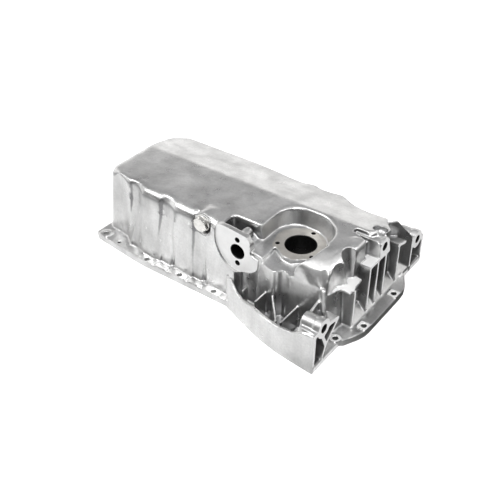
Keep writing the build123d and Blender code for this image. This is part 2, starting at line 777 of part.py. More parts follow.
for name, piece in (("pan", pan), ("washer", washer), ("plug", plug)):
    print(name, len(piece.part.solids()), round(piece.part.volume), piece.part.is_valid)
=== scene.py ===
"""Engine oil pan: cast skin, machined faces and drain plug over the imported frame."""

from __future__ import annotations

import json
import logging
import math
from dataclasses import dataclass
from enum import Enum

import bmesh
import bpy
import numpy as np
from mathutils import Matrix, Vector
from mathutils.bvhtree import BVHTree

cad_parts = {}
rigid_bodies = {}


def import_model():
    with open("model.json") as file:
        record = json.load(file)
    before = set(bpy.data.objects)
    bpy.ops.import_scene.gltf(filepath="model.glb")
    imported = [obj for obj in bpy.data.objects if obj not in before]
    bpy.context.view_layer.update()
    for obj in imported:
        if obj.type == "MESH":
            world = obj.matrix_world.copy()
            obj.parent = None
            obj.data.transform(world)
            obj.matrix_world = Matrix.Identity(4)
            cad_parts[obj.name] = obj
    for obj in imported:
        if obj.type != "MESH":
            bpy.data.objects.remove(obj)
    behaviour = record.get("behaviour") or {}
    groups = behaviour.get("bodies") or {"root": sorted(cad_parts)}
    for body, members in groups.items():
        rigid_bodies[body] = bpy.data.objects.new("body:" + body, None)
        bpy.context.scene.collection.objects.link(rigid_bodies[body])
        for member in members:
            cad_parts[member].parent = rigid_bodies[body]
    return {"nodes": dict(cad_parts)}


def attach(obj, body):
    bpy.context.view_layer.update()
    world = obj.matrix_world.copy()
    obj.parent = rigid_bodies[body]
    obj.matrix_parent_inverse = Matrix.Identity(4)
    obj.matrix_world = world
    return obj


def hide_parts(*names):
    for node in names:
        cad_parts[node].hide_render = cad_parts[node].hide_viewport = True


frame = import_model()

log = logging.getLogger("oil_pan")
MM = 0.001
Tree = bpy.types.NodeTree
Socket = bpy.types.NodeSocket
Piece = bpy.types.Object
Mesh = bpy.types.Mesh
Faces = bmesh.types.BMesh
Triple = tuple[float, float, float]
Outline = list[tuple[float, float]]
Stops = tuple[tuple[float, Triple], ...]
UP = (0.0, 0.0, 1.0)
TO_FRONT = (0.0, -1.0, 0.0)
TO_GEARBOX = (1.0, 0.0, 0.0)
NOISE_RANGE = (0.3, 0.7)


class Surface(Enum):
    """Finishes of the casting, in the order of its material slots."""

    CAST = 0
    MACHINED = 1
    BORE_SHADE = 2
    RING = 3


def grey(level: float) -> Triple:
    """Neutral colour of one level."""
    return (level, level, level)


def new_material(name: str) -> tuple[bpy.types.Material, Tree, bpy.types.Node]:
    """Start a node material.

    Args:
        name: Name of the material.

    Returns:
        The material, its node tree and its Principled shader.
    """
    material = bpy.data.materials.new(name)
    material.use_nodes = True
    tree = material.node_tree
    return material, tree, tree.nodes["Principled BSDF"]


def feed(tree: Tree, value: Socket | float | Triple, socket: Socket) -> None:
    """Link an output to an input, or set the input to a number or colour.

    Args:
        tree: Node tree.
        value: Output, number or colour.
        socket: Input that takes it.
    """
    if isinstance(value, Socket):
        tree.links.new(value, socket)
    elif isinstance(value, tuple):
        socket.default_value = (*value, 1.0)
    else:
        socket.default_value = value


def noise(tree: Tree, scale: float, detail: float, stretch: Triple = (1.0, 1.0, 1.0)) -> Socket:
    """Add a noise pattern in object space.

    Args:
        tree: Node tree that gets the pattern.
        scale: Pattern cells a metre.
        detail: Octaves of the noise.
        stretch: Factor on each coordinate, above 1 for finer cells along it.

    Returns:
        The factor output of the noise.
    """
    coords = tree.nodes.new("ShaderNodeTexCoord")
    mapping = tree.nodes.new("ShaderNodeMapping")
    mapping.inputs["Scale"].default_value = stretch
    pattern = tree.nodes.new("ShaderNodeTexNoise")
    pattern.inputs["Scale"].default_value = scale
    pattern.inputs["Detail"].default_value = detail
    tree.links.new(coords.outputs["Object"], mapping.inputs["Vector"])
    tree.links.new(mapping.outputs["Vector"], pattern.inputs["Vector"])
    return pattern.outputs["Fac"]


def ramp(tree: Tree, source: Socket, stops: Stops) -> Socket:
    """Turn a factor into colours.

    Args:
        tree: Node tree.
        source: Factor that is read.
        stops: Places from 0 to 1 with their colours.

    Returns:
        The colour output.
    """
    node = tree.nodes.new("ShaderNodeValToRGB")
    elements = node.color_ramp.elements
    for element, (place, colour) in zip(elements, (stops[0], stops[-1])):
        element.position = place
        element.color = (*colour, 1.0)
    for place, colour in stops[1:-1]:
        elements.new(place).color = (*colour, 1.0)
    tree.links.new(source, node.inputs["Fac"])
    return node.outputs["Color"]


def spread(
    tree: Tree, source: Socket, low: float, high: float, start: float, end: float
) -> Socket:
    """Map a factor to a range of values.

    Args:
        tree: Node tree.
        source: Factor that is read.
        low: Value at the start.
        high: Value at the end.
        start: Factor that gives the low value.
        end: Factor that gives the high value.

    Returns:
        The mapped value.
    """
    node = tree.nodes.new("ShaderNodeMapRange")
    node.inputs["From Min"].default_value = start
    node.inputs["From Max"].default_value = end
    node.inputs["To Min"].default_value = low
    node.inputs["To Max"].default_value = high
    tree.links.new(source, node.inputs["Value"])
    return node.outputs["Result"]


def reckon(
    tree: Tree,
    operation: str,
    first: Socket | float,
    second: Socket | float,
    clamp: bool = False,
) -> Socket:
    """Add a sum between two values.

    Args:
        tree: Node tree.
        operation: Name of the operation.
        first: Output or number.
        second: Output or number.
        clamp: Whether the result stays between 0 and 1.

    Returns:
        The result.
    """
    node = tree.nodes.new("ShaderNodeMath")
    node.operation = operation
    node.use_clamp = clamp
    feed(tree, first, node.inputs[0])
    feed(tree, second, node.inputs[1])
    return node.outputs["Value"]


def mixed(
    tree: Tree,
    share: Socket | float,
    first: Socket | Triple,
    second: Socket | Triple,
    mode: str = "MIX",
) -> Socket:
    """Mix two colours.

    Args:
        tree: Node tree.
        share: Share of the second colour.
        first: Output or colour.
        second: Output or colour.
        mode: Name of the blend mode.

    Returns:
        The mixed colour.
    """
    node = tree.nodes.new("ShaderNodeMix")
    node.data_type = "RGBA"
    node.blend_type = mode
    colour_a, colour_b, result = 6, 7, 2
    feed(tree, share, node.inputs["Factor"])
    feed(tree, first, node.inputs[colour_a])
    feed(tree, second, node.inputs[colour_b])
    return node.outputs[result]


def relief(tree: Tree, layers: list[tuple[Socket, float, float]]) -> Socket:
    """Stack bump layers.

    Args:
        tree: Node tree.
        layers: Height factor, depth in metres and strength of each layer.

    Returns:
        The normal output of the last layer.
    """
    normal = None
    for height, depth, strength in layers:
        bump = tree.nodes.new("ShaderNodeBump")
        bump.inputs["Distance"].default_value = depth
        bump.inputs["Strength"].default_value = strength
        tree.links.new(height, bump.inputs["Height"])
        if normal is not None:
            tree.links.new(normal, bump.inputs["Normal"])
        normal = bump.outputs["Normal"]
    return normal


@dataclass(frozen=True)
class Metal:
    """Bare metal with a cloudy tone, uneven gloss and a fine grain; each pattern is a scale and a detail."""

    name: str = "metal"
    dark: Triple = (0.68, 0.68, 0.6715)
    light: Triple = (0.80, 0.80, 0.79)
    contrast: tuple[float, float] = (0.35, 0.65)
    cloud: tuple[float, float] = (500.0, 3.0)
    metallic: float = 1.0
    gloss: tuple[float, float] = (500.0, 3.0)
    rough: tuple[float, float] = (0.38, 0.50)
    grain: tuple[float, float] = (500.0, 3.0)
    stretch: Triple = (1.0, 1.0, 1.0)
    depth: float = 0.1 * MM
    strength: float = 0.4

    def material(self) -> bpy.types.Material:
        """Build the node material.

        Returns:
            The material.
        """
        material, tree, shader = new_material(self.name)
        stops = tuple(zip(self.contrast, (self.dark, self.light)))
        tree.links.new(ramp(tree, noise(tree, *self.cloud), stops), shader.inputs["Base Color"])
        shader.inputs["Metallic"].default_value = self.metallic
        rough = spread(tree, noise(tree, *self.gloss), *self.rough, *NOISE_RANGE)
        tree.links.new(rough, shader.inputs["Roughness"])
        layers = [(noise(tree, *self.grain, self.stretch), self.depth, self.strength)]
        tree.links.new(relief(tree, layers), shader.inputs["Normal"])
        return material


@dataclass(frozen=True)
class SoftWasher(Metal):
    """Soft aluminium of the sealing washer."""

    name: str = "soft_washer"


@dataclass(frozen=True)
class MachinedFace(Metal):
    """Bright milled aluminium."""

    name: str = "machined_face"
    dark: Triple = (0.8556, 0.8556, 0.85095)
    light: Triple = (0.92, 0.92, 0.915)
    cloud: tuple[float, float] = (70.0, 4.0)
    metallic: float = 0.1
    gloss: tuple[float, float] = (300.0, 3.0)
    rough: tuple[float, float] = (0.41, 0.51)
    grain: tuple[float, float] = (500.0, 2.0)
    stretch: Triple = (1.0, 6.0, 1.0)
    depth: float = 0.05 * MM


@dataclass(frozen=True)
class SealFace(Metal):
    """Turned seat of the sensor, duller than the milled faces."""

    name: str = "seal_face"
    dark: Triple = (0.646, 0.62475, 0.5865)
    light: Triple = (0.76, 0.735, 0.69)
    cloud: tuple[float, float] = (90.0, 4.0)
    rough: tuple[float, float] = (0.42, 0.55)
    grain: tuple[float, float] = (700.0, 2.0)
    depth: float = 0.06 * MM


@dataclass(frozen=True)
class BorePaintedShade(Metal):
    """Drilled or cored wall of a hole, near black as painted shade for the dark inside of the hole."""

    name: str = "bore_painted_shade"
    # Near black: painted shade inside the holes.
    dark: Triple = (0.048, 0.048, 0.048)
    light: Triple = (0.06, 0.06, 0.06)
    cloud: tuple[float, float] = (400.0, 2.0)
    gloss: tuple[float, float] = (400.0, 2.0)
    rough: tuple[float, float] = (0.35, 0.5)
    grain: tuple[float, float] = (400.0, 2.0)


@dataclass(frozen=True)
class PlatedSteel(Metal):
    """Zinc plated steel of the drain plug."""

    name: str = "plated_plug"
    dark: Triple = (0.74, 0.73, 0.70)
    light: Triple = (0.93, 0.92, 0.89)
    contrast: tuple[float, float] = (0.32, 0.68)
    cloud: tuple[float, float] = (160.0, 5.0)
    gloss: tuple[float, float] = (400.0, 3.0)
    rough: tuple[float, float] = (0.24, 0.40)
    grain: tuple[float, float] = (700.0, 3.0)
    depth: float = 0.15 * MM
    strength: float = 0.5


@dataclass(frozen=True)
class CastSkin:
    """Satin die cast aluminium with cloudy tone, flow marks, a fine grain and painted shade that darkens its
    pockets and recesses.
    """

    name: str = "cast_skin"
    tones: Stops = ((0.30, (0.66, 0.66, 0.655)), (0.5, (0.80, 0.80, 0.795)), (0.72, (0.92, 0.92, 0.915)))
    # Colour of the painted shade in pockets and recesses, and how strongly it is mixed in.
    pocket: Triple = (0.22, 0.22, 0.225)
    shade_share: float = 0.92
    shade_from: float = 0.20
    shade_to: float = 0.68
    cloud: tuple[float, float] = (22.0, 6.0)
    flow: tuple[float, float, Triple] = (48.0, 5.0, (1.0, 1.0, 0.14))
    flow_tones: Stops = ((0.38, (0.86, 0.86, 0.86)), (0.60, (1.0, 1.0, 1.0)))
    speckle: tuple[float, float] = (330.0, 5.0)
    speckle_tones: Stops = ((0.36, (0.92, 0.92, 0.92)), (0.62, (1.0, 1.0, 1.0)))
    metallic: float = 0.96
    gloss: tuple[float, float] = (60.0, 5.0)
    rough: tuple[float, float] = (0.26, 0.40)
    ripple: tuple[float, float] = (35.0, 3.0)
    dimple: tuple[float, float] = (190.0, 4.0)
    grain: tuple[float, float] = (900.0, 2.0)

    def material(self) -> bpy.types.Material:
        """Build the node material.

        Returns:
            The material.
        """
        material, tree, shader = new_material(self.name)
        tone = ramp(tree, noise(tree, *self.cloud), self.tones)
        tone = mixed(tree, 1.0, tone, ramp(tree, noise(tree, *self.flow), self.flow_tones), "MULTIPLY")
        tone = mixed(tree, 1.0, tone, ramp(tree, noise(tree, *self.speckle), self.speckle_tones), "MULTIPLY")
        # Painted shade: the stored enclosure mixes the base colour towards the shade colour in recesses.
        depth = tree.nodes.new("ShaderNodeAttribute")
        depth.attribute_name = "cavity"
        share = spread(tree, depth.outputs["Fac"], 0.0, self.shade_share, self.shade_from, self.shade_to)
        tree.links.new(mixed(tree, share, tone, self.pocket), shader.inputs["Base Color"])
        shader.inputs["Metallic"].default_value = self.metallic
        rough = spread(tree, noise(tree, *self.gloss), *self.rough, *NOISE_RANGE)
        tree.links.new(rough, shader.inputs["Roughness"])
        layers = [
            (noise(tree, *self.ripple), 1.2 * MM, 0.35),
            (noise(tree, *self.dimple), 0.4 * MM, 0.45),
            (noise(tree, *self.grain), 0.1 * MM, 0.5),
        ]
        tree.links.new(relief(tree, layers), shader.inputs["Normal"])
        return material


def object_from(mesh: Mesh, name: str) -> Piece:
    """Link a mesh into the scene as an object.

    Args:
        mesh: Faces of the object.
        name: Name of the object.

    Returns:
        The object.
    """
    piece = bpy.data.objects.new(name, mesh)
    bpy.context.scene.collection.objects.link(piece)
    return piece


def mesh_from(bm: Faces, name: str, outward: bool = True) -> Mesh:
    """Turn a bmesh into a mesh and free it.

    Args:
        bm: Faces to keep.
        name: Name of the mesh.
        outward: Whether its normals are turned outward first.

    Returns:
        The mesh.
    """
    if outward:
        bmesh.ops.recalc_face_normals(bm, faces=bm.faces)
    mesh = bpy.data.meshes.new(name)
    bm.to_mesh(mesh)
    bm.free()
    return mesh


def baked(piece: Piece, name: str) -> Mesh:
    """Mesh of an object with its modifiers applied.

    Args:
        piece: Object whose modifiers are applied.
        name: Name of the new mesh.

    Returns:
        The new mesh.
    """
    graph = bpy.context.evaluated_depsgraph_get()
    mesh = bpy.data.meshes.new_from_object(piece.evaluated_get(graph))
    mesh.name = name
    return mesh


def combine(piece: Piece, tool: Piece, operation: str) -> None:
    """Add a solid modifier between two closed bodies.

    Args:
        piece: Body that is changed.
        tool: Body that changes it.
        operation: UNION, DIFFERENCE or INTERSECT.
    """
    modifier = piece.modifiers.new(tool.name, "BOOLEAN")
    modifier.operation = operation
    modifier.object = tool
    modifier.solver = "MANIFOLD"


def smooth(piece: Piece, name: str, steps: int) -> bpy.types.Modifier:
    """Add a smoothing modifier.

    Args:
        piece: Object that is smoothed.
        name: Name of the modifier.
        steps: Times that it is repeated.

    Returns:
        The modifier.
    """
    modifier = piece.modifiers.new(name, "SMOOTH")
    modifier.factor = 0.5
    modifier.iterations = steps
    return modifier


def discard(*pieces: Piece) -> None:
    """Delete helper objects."""
    for piece in pieces:
        bpy.data.objects.remove(piece)


def rows(items: bpy.types.bpy_prop_collection, name: str, width: int = 3) -> np.ndarray:
    """Read one property of every item as rows of numbers.

    Args:
        items: Vertices, faces or the like.
        name: Name of the property.
        width: Numbers that each item has.

    Returns:
        An array with one row for each item.
    """
    values = np.empty(len(items) * width, np.float32)
    items.foreach_get(name, values)
    return values.reshape(-1, width)


def linear(values: np.ndarray, start: float, end: float) -> np.ndarray:
    """Share from 0 at the start to 1 at the end."""
    return np.clip((values - start) / (end - start), 0.0, 1.0)


def close_rings(bm: Faces, rings: list[list[bmesh.types.BMVert]]) -> None:
    """Join rings of vertices from the bottom up and close both ends.

    Args:
        bm: Mesh that gets the faces.
        rings: Rings with the same number of vertices.
    """
    for below, above in zip(rings, rings[1:]):
        for k in range(len(below)):
            j = (k + 1) % len(below)
            bm.faces.new((below[k], below[j], above[j], above[k]))
    bm.faces.new(list(reversed(rings[0])))
    bm.faces.new(rings[-1])


def turned(bm: Faces, profile: Outline, place: Matrix, steps: int = 48) -> None:
    """Add a turned solid to a mesh.

    Args:
        bm: Mesh that gets the solid.
        profile: Radius and height of each ring in metres, from the bottom up.
        place: Matrix that puts the local z axis in place.
        steps: Sides of the solid.
    """
    rings = []
    for radius, height in profile:
        ring = []
        for k in range(steps):
            angle = 2.0 * math.pi * k / steps
            point = Vector((radius * math.cos(angle), radius * math.sin(angle), height))
            ring.append(bm.verts.new(place @ point))
        rings.append(ring)
    close_rings(bm, rings)


def block(bm: Faces, low: Triple, high: Triple) -> None:
    """Add a box between two corners in metres to a mesh.

    Args:
        bm: Mesh that gets the box.
        low: Lowest corner.
        high: Highest corner.
    """
    made = bmesh.ops.create_cube(bm, size=1.0)
    for vert in made["verts"]:
        vert.co = Vector((low[i] + (vert.co[i] + 0.5) * (high[i] - low[i]) for i in range(3)))


def loft(outlines: list[Outline], levels: tuple[float, ...]) -> Faces:
    """Closed body through outlines at several heights.

    Args:
        outlines: Outlines in millimetres, with the same number of points.
        levels: Height of each in millimetres.

    Returns:
        The faces of the body.
    """
    bm = bmesh.new()
    rings = []
    for outline, z in zip(outlines, levels):
        rings.append([bm.verts.new((x * MM, y * MM, z * MM)) for x, y in outline])
    close_rings(bm, rings)
    bmesh.ops.triangulate(bm, faces=bm.faces)
    return bm


def upright(x: float, y: float, z: float = 0.0) -> Matrix:
    """Matrix of a vertical axis at a place in millimetres."""
    return Matrix.Translation((x * MM, y * MM, z * MM))


def shade_depth(mesh: Mesh, reach: float, rays: int) -> None:
    """Store how enclosed each vertex is, from 0 in the open to 1 deep in a pocket; the cast skin paints
    shade into its colour from it.

    Args:
        mesh: Closed mesh that gets the attribute "cavity".
        reach: How far a wall still counts, in metres.
        rays: Directions tried at each vertex.
    """
    bm = bmesh.new()
    bm.from_mesh(mesh)
    tree = BVHTree.FromBMesh(bm)
    bm.free()
    golden = math.pi * (3.0 - math.sqrt(5.0))
    local = []
    for k in range(rays):
        height = math.sqrt((k + 0.5) / rays)
        flat = math.sqrt(1.0 - height * height)
        local.append(Vector((flat * math.cos(golden * k), flat * math.sin(golden * k), height)))
    lift = 0.3 * MM
    closed = np.zeros(len(mesh.vertices), np.float32)
    for i, vert in enumerate(mesh.vertices):
        turn = vert.normal.to_track_quat("Z", "Y")
        start = vert.co + vert.normal * lift
        hits = 0.0
        for ray in local:
            found = tree.ray_cast(start, turn @ ray, reach)
            if found[0] is not None:
                hits += 1.0 - 0.5 * found[3] / reach
        closed[i] = hits / rays
    layer = mesh.attributes.new("cavity", "FLOAT", "POINT")
    layer.data.foreach_set("value", closed)


@dataclass(frozen=True)
class Hole:
    """A round hole in metres: its mouth, the way out of the metal, and how far the drill goes."""

    mouth: Triple
    out: Triple
    radius: float
    depth: float
    chamfer: float = 0.5 * MM
    above: float = 4.5 * MM

    def place(self) -> Matrix:
        """Matrix whose z axis points out of the mouth."""
        turn = Vector(self.out).to_track_quat("Z", "Y").to_matrix().to_4x4()
        return Matrix.Translation(Vector(self.mouth)) @ turn

    def cut(self, bm: Faces) -> None:
        """Add the drill of this hole to a mesh.

        Args:
            bm: Mesh that gets the drill.
        """
        r, c = self.radius, self.chamfer
        profile = [(r, -self.depth), (r, -c), (r + c, 0.0), (r + c, self.above)]
        turned(bm, profile, self.place(), 64 if r > 6.0 * MM else 40)

    def fill(self, bm: Faces) -> None:
        """Add a stopper that closes this hole to a mesh."""
        radius = self.radius + 0.4 * MM
        turned(bm, [(radius, -self.depth - 0.4 * MM), (radius, -0.1 * MM)], self.place(), 40)


@dataclass(frozen=True)
class Scoop:
    """A drafted round pocket, open to the gearbox face: x, y and radius in mm at its foot and top."""

    foot: Triple
    top: Triple

    def body(self, foot_z: float, top_z: float) -> Faces:
        """Cutting body of the scoop, which goes on past the top.

        Args:
            foot_z: Height of the foot in millimetres.
            top_z: Height of the top in millimetres.

        Returns:
            The faces of the body.
        """
        past, open_x = 1.4, 210.0
        outlines = []
        for share in (0.0, past):
            x, y, r = (low + (high - low) * share for low, high in zip(self.foot, self.top))
            angles = [math.radians(90.0 + 7.5 * k) for k in range(25)]
            arc = [(x + r * math.cos(angle), y + r * math.sin(angle)) for angle in angles]
            outlines.append([(open_x, y - r), (open_x, y + r), *arc])
        return loft(outlines, (foot_z, foot_z + past * (top_z - foot_z)))


@dataclass(frozen=True)
class Zone:
    """A share that fades in where each named measure goes from its first value to its second."""

    share: float
    fades: tuple[tuple[str, float, float], ...]

    def weight(self, measures: dict[str, np.ndarray]) -> np.ndarray:
        """Weight at each place, from 0 to the share.

        Args:
            measures: Named measures in millimetres, with one value for each place.

        Returns:
            One weight for each place.
        """
        total = np.full(len(measures["x"]), self.share, np.float32)
        for name, start, end in self.fades:
            t = linear(measures[name], start, end)
            total *= t * t * (3.0 - 2.0 * t)
        return total


@dataclass
class Casting:
    """The cast pan: rounded cast skin with crisp machined faces and holes."""

    voxel: float = 0.95 * MM
    smooth_steps: int = 5
    soft_steps: int = 70
    triangles: int = 185_000
    stock: float = 2.5 * MM
    pad_stock: float = 1.2 * MM
    flange_top: float = 9.0 * MM
    pad_top: float = 10.2 * MM
    ledge_z: float = 67.0 * MM
    side_ledge_z: float = 80.0 * MM
    top_z: float = 109.0 * MM
    face_x: float = 190.5 * MM
    return_centre: Triple = (41.3 * MM, -82.0 * MM, 79.3 * MM)
    sensor_centre: Triple = (101.0 * MM, -30.5 * MM, 86.0 * MM)
    plug_centre: Triple = (-16.0 * MM, -76.0 * MM, 97.0 * MM)
    bolt_x: float = -104.5
    bolt_pitch: float = 58.0
    bolt_rows: tuple[float, float] = (-94.7, 100.7)
    end_bolts: tuple[tuple[float, float], ...] = (
        (-193.5, -82.7), (-193.5, 88.7), (201.5, -37.5), (201.5, 39.5), (185.0, -77.5), (185.0, 79.5)
    )
    locating: tuple[tuple[float, float], ...] = ((-163.8, -87.1), (-163.8, 93.1))
    gearbox_bolts: tuple[Triple, ...] = ((-115.8, 56.0, 28.0), (20.0, 92.0, 16.0), (118.7, 46.2, 28.0))
    near_scoop: Scoop = Scoop((183.5, -60.0, 15.8), (182.0, -60.5, 15.5))
    middle_scoop: Scoop = Scoop((178.5, -35.0, 7.6), (174.5, -36.5, 11.8))
    rounded: tuple[Zone, ...] = (
        Zone(0.5, (("y", -58.0, -64.0), ("x", 8.0, -4.0), ("z", 12.0, 20.0))),
        Zone(0.5, (("x", -188.0, -196.0), ("z", 12.0, 20.0))),
        Zone(0.45, (("x", 118.0, 126.0), ("x", 164.0, 156.0), ("z", 44.0, 60.0), ("y", -50.0, -60.0))),
    )
    crisp: tuple[Zone, ...] = (
        Zone(0.5, (("bowl", 56.0, 46.0),)),
        Zone(1.0, (("bowl", 37.5, 35.0), ("z", 92.0, 88.0))),
        Zone(0.8, (("y", -50.0, -62.0), ("x", 76.0, 80.0), ("x", 127.0, 121.0))),
        Zone(0.9, (("y", -74.0, -78.0), ("x", 2.0, 8.0), ("x", 80.0, 74.0))),
        Zone(0.6, (("x", 6.0, 12.0), ("x", 72.0, 62.0), ("y", -46.0, -50.0), ("z", 106.0, 98.0))),
        Zone(0.85, (("boss", 19.0, 14.0), ("y", -64.0, -68.0))),
        Zone(0.94, (("x", 140.0, 150.0), ("y", -4.0, 4.0))),
        Zone(0.72, (("x", 154.0, 160.0), ("y", -84.0, -76.0))),
    )

    def flange_drills(self) -> list[Hole]:
        """Screw and locating holes of the block flange.

        Returns:
            The holes, mouths up.
        """
        screw_r, locating_r, past = 3.5 * MM, 2.25 * MM, 4.0 * MM
        above, chamfer = 1.2 * MM, 0.5 * MM
        spots = [(self.bolt_x + self.bolt_pitch * k, y) for k in range(5) for y in self.bolt_rows]
        made = []
        for x, y in (*spots, *self.end_bolts):
            mouth = (x * MM, y * MM, self.pad_top)
            made.append(Hole(mouth, UP, screw_r, self.pad_top + past, chamfer, above))
        for x, y in self.locating:
            mouth = (x * MM, y * MM, self.flange_top)
            made.append(Hole(mouth, UP, locating_r, self.flange_top + past, chamfer, above))
        return made

    def face_drills(self) -> list[Hole]:
        """Holes of the gearbox face, the sensor, the return pad and the plug.

        Returns:
            The holes.
        """
        bolt_r, sensor_r, return_r, plug_r = 5.25 * MM, 20.0 * MM, 10.0 * MM, 7.3 * MM
        sensor_depth, return_depth, plug_depth = 21.0 * MM, 41.0 * MM, 28.0 * MM
        sensor_ring, return_rise, broad = 29.0 * MM, 17.5 * MM, 0.8 * MM
        made = []
        for y, z, depth in self.gearbox_bolts:
            made.append(Hole((self.face_x, y * MM, z * MM), TO_GEARBOX, bolt_r, depth * MM, broad))
        x, y, z = self.sensor_centre
        made.append(Hole((x, y, z), UP, sensor_r, sensor_depth, 0.6 * MM))
        for k in range(3):
            angle = math.radians(90.0 + 120.0 * k)
            spot = (x + sensor_ring * math.cos(angle), y + sensor_ring * math.sin(angle), z)
            made.append(Hole(spot, UP, 2.5 * MM, 11.0 * MM))
        x, y, z = self.return_centre
        made.append(Hole((x, y, z), TO_FRONT, return_r, return_depth, broad))
        for rise in (-return_rise, return_rise):
            made.append(Hole((x, y, z + rise), TO_FRONT, 3.3 * MM, 22.0 * MM))
        made.append(Hole(self.plug_centre, TO_FRONT, plug_r, plug_depth))
        return made

    def holes(self) -> list[Hole]:
        """All round holes of the casting."""
        return [*self.flange_drills(), *self.face_drills()]

    def return_outline(self) -> Outline:
        """Smooth outline of the return pad as x and z round its port, in metres.

        Returns:
            Points round the pad.
        """
        points = [(-18.3, 30.3), (-26.0, 30.2), (-32.2, 27.4), (-34.4, 15.0), (-33.4, 2.2), (-29.6, -8.6)]
        points += [(-23.4, -17.9), (-14.2, -25.3), (-3.5, -29.8), (4.2, -29.2), (11.6, -26.0)]
        points += [(20.5, -23.0), (28.0, -18.0), (31.5, -10.5), (31.7, -1.1)]
        points += [(26.5, -0.3), (22.0, 2.0), (19.9, 5.6), (19.5, 9.6)]
        points += [(19.6, 15.0), (18.5, 20.0), (15.6, 24.3), (11.1, 27.3)]
        outline = []
        for k in range(len(points)):
            a, b, c, d = (Vector(points[(k + step) % len(points)]) for step in (-1, 0, 1, 2))
            for t in (0.0, 0.25, 0.5, 0.75):
                spot = 0.5 * (2.0 * b + (c - a) * t + (2.0 * a - 5.0 * b + 4.0 * c - d) * t**2)
                spot += 0.5 * (3.0 * b - a - 3.0 * c + d) * t**3
                outline.append((spot.x * MM, spot.y * MM))
        return outline

    def corner(self) -> Mesh:
        """Solid of the sump's corner at the gearbox end as it is before the scoops.

        Returns:
            A closed mesh.
        """
        stations = (
            ((150.0, -88.5), (149.0, -85.0), (131.0, -52.0), 80.0),
            ((164.0, -86.5), (161.0, -82.5), (140.0, -47.0), 80.0),
            ((172.0, -79.0), (168.5, -74.0), (149.0, -41.0), 80.0),
            ((176.5, -66.0), (172.5, -62.0), (157.0, -34.0), 82.0),
            ((177.0, -42.0), (175.5, -40.0), (165.0, -28.0), 94.0),
            ((177.0, -20.0), (176.0, -20.0), (169.5, -18.0), 101.0),
            ((177.0, 8.6), (176.0, 8.6), (169.5, 8.6), 101.0),
        )
        inside = [(148.0, 8.6), (122.0, -42.0)]
        levels = (60.0, 80.0, 87.0, 93.0, 98.0, 102.0, 105.0, 107.5, 109.0)
        foot, crown = self.flange_top / MM, self.top_z / MM
        outlines = []
        for z in levels:
            outline = []
            for low, high, top, start in stations:
                base, goal, share = low, high, (z - foot) / (start - foot)
                if z > start:
                    rise = (z - start) / (crown - start)
                    base, goal, share = high, top, 1.0 - math.sqrt(max(0.0, 1.0 - rise * rise))
                outline.append(tuple(p + (q - p) * share for p, q in zip(base, goal)))
            outlines.append([*outline, *inside])
        return mesh_from(loft(outlines, levels), "corner", outward=False)

    def patched(self, bm: Faces) -> None:
        """Add metal to the corner of the sump, where its scoops are cut anew.

        Args:
            bm: Mesh that gets the metal.
        """
        discs = [(171.5, -17.0, 15.4, 78.0), (178.0, -51.0, 17.9, 65.0), (174.0, -33.0, 16.0, 76.0)]
        discs += [(180.0, -59.5, 19.5, 63.0), (175.0, -36.0, 15.5, 63.0)]
        tools = []
        for x, y, r, floor in discs:
            piece = bmesh.new()
            turned(piece, [(r * MM, 0.0), (r * MM, 60.0 * MM)], upright(x, y, floor), 64)
            tools.append(piece)
        for near, far, floor in ((-32.4, -1.6, 78.0), (-68.9, -33.1, 65.0)):
            piece = bmesh.new()
            block(piece, (170.0 * MM, near * MM, floor * MM), (200.0 * MM, far * MM, 130.0 * MM))
            tools.append(piece)
        for tool in tools:
            body = object_from(self.corner(), "corner_part")
            limit = object_from(mesh_from(tool, "corner_tool"), "corner_tool")
            combine(body, limit, "INTERSECT")
            bm.from_mesh(baked(body, "corner_part"))
            discard(body, limit)

    def scoops(self) -> Piece:
        """Cutting body of the two scoops at the gearbox end and of the bowl's flank.

        Returns:
            One closed body, which is linked into the scene.
        """
        foot, top = self.ledge_z / MM, self.top_z / MM
        bodies = [scoop.body(foot, top) for scoop in (self.middle_scoop, self.near_scoop)]
        front = [(168.0, -77.0), (188.0, -77.0), (188.0, -60.5), (167.8, -60.5)]
        bodies.append(loft([front, front], (foot, 126.0)))
        flank = [(122.0, -100.0), (124.5, -72.0), (137.5, -38.0), (130.0, -38.0), (115.0, -72.0)]
        above = [(126.0, -100.0), (140.0, -72.0), (145.0, -36.0), (130.0, -38.0), (115.0, -72.0)]
        bodies.append(loft([flank, above], (86.0, 110.0)))
        base = object_from(mesh_from(bodies[0], "scoop"), "scoops")
        for bm in bodies[1:]:
            piece = object_from(mesh_from(bm, "scoop"), "scoop")
            combine(base, piece, "UNION")
            merged = baked(base, "scoops")
            discard(base, piece)
            base = object_from(merged, "scoops")
        return base

    def prism(self, bm: Faces, y_far: float, y_near: float) -> None:
        """Add a prism of the return pad's outline between two depths to a mesh.

        Args:
            bm: Mesh that gets the prism.
            y_far: Depth of its far end in metres.
            y_near: Depth of its near end in metres.
        """
        cx, _, cz = self.return_centre
        ends = []
        for y in (y_far, y_near):
            ends.append([bm.verts.new((cx + x, y, cz + z)) for x, z in self.return_outline()])
        close_rings(bm, ends)

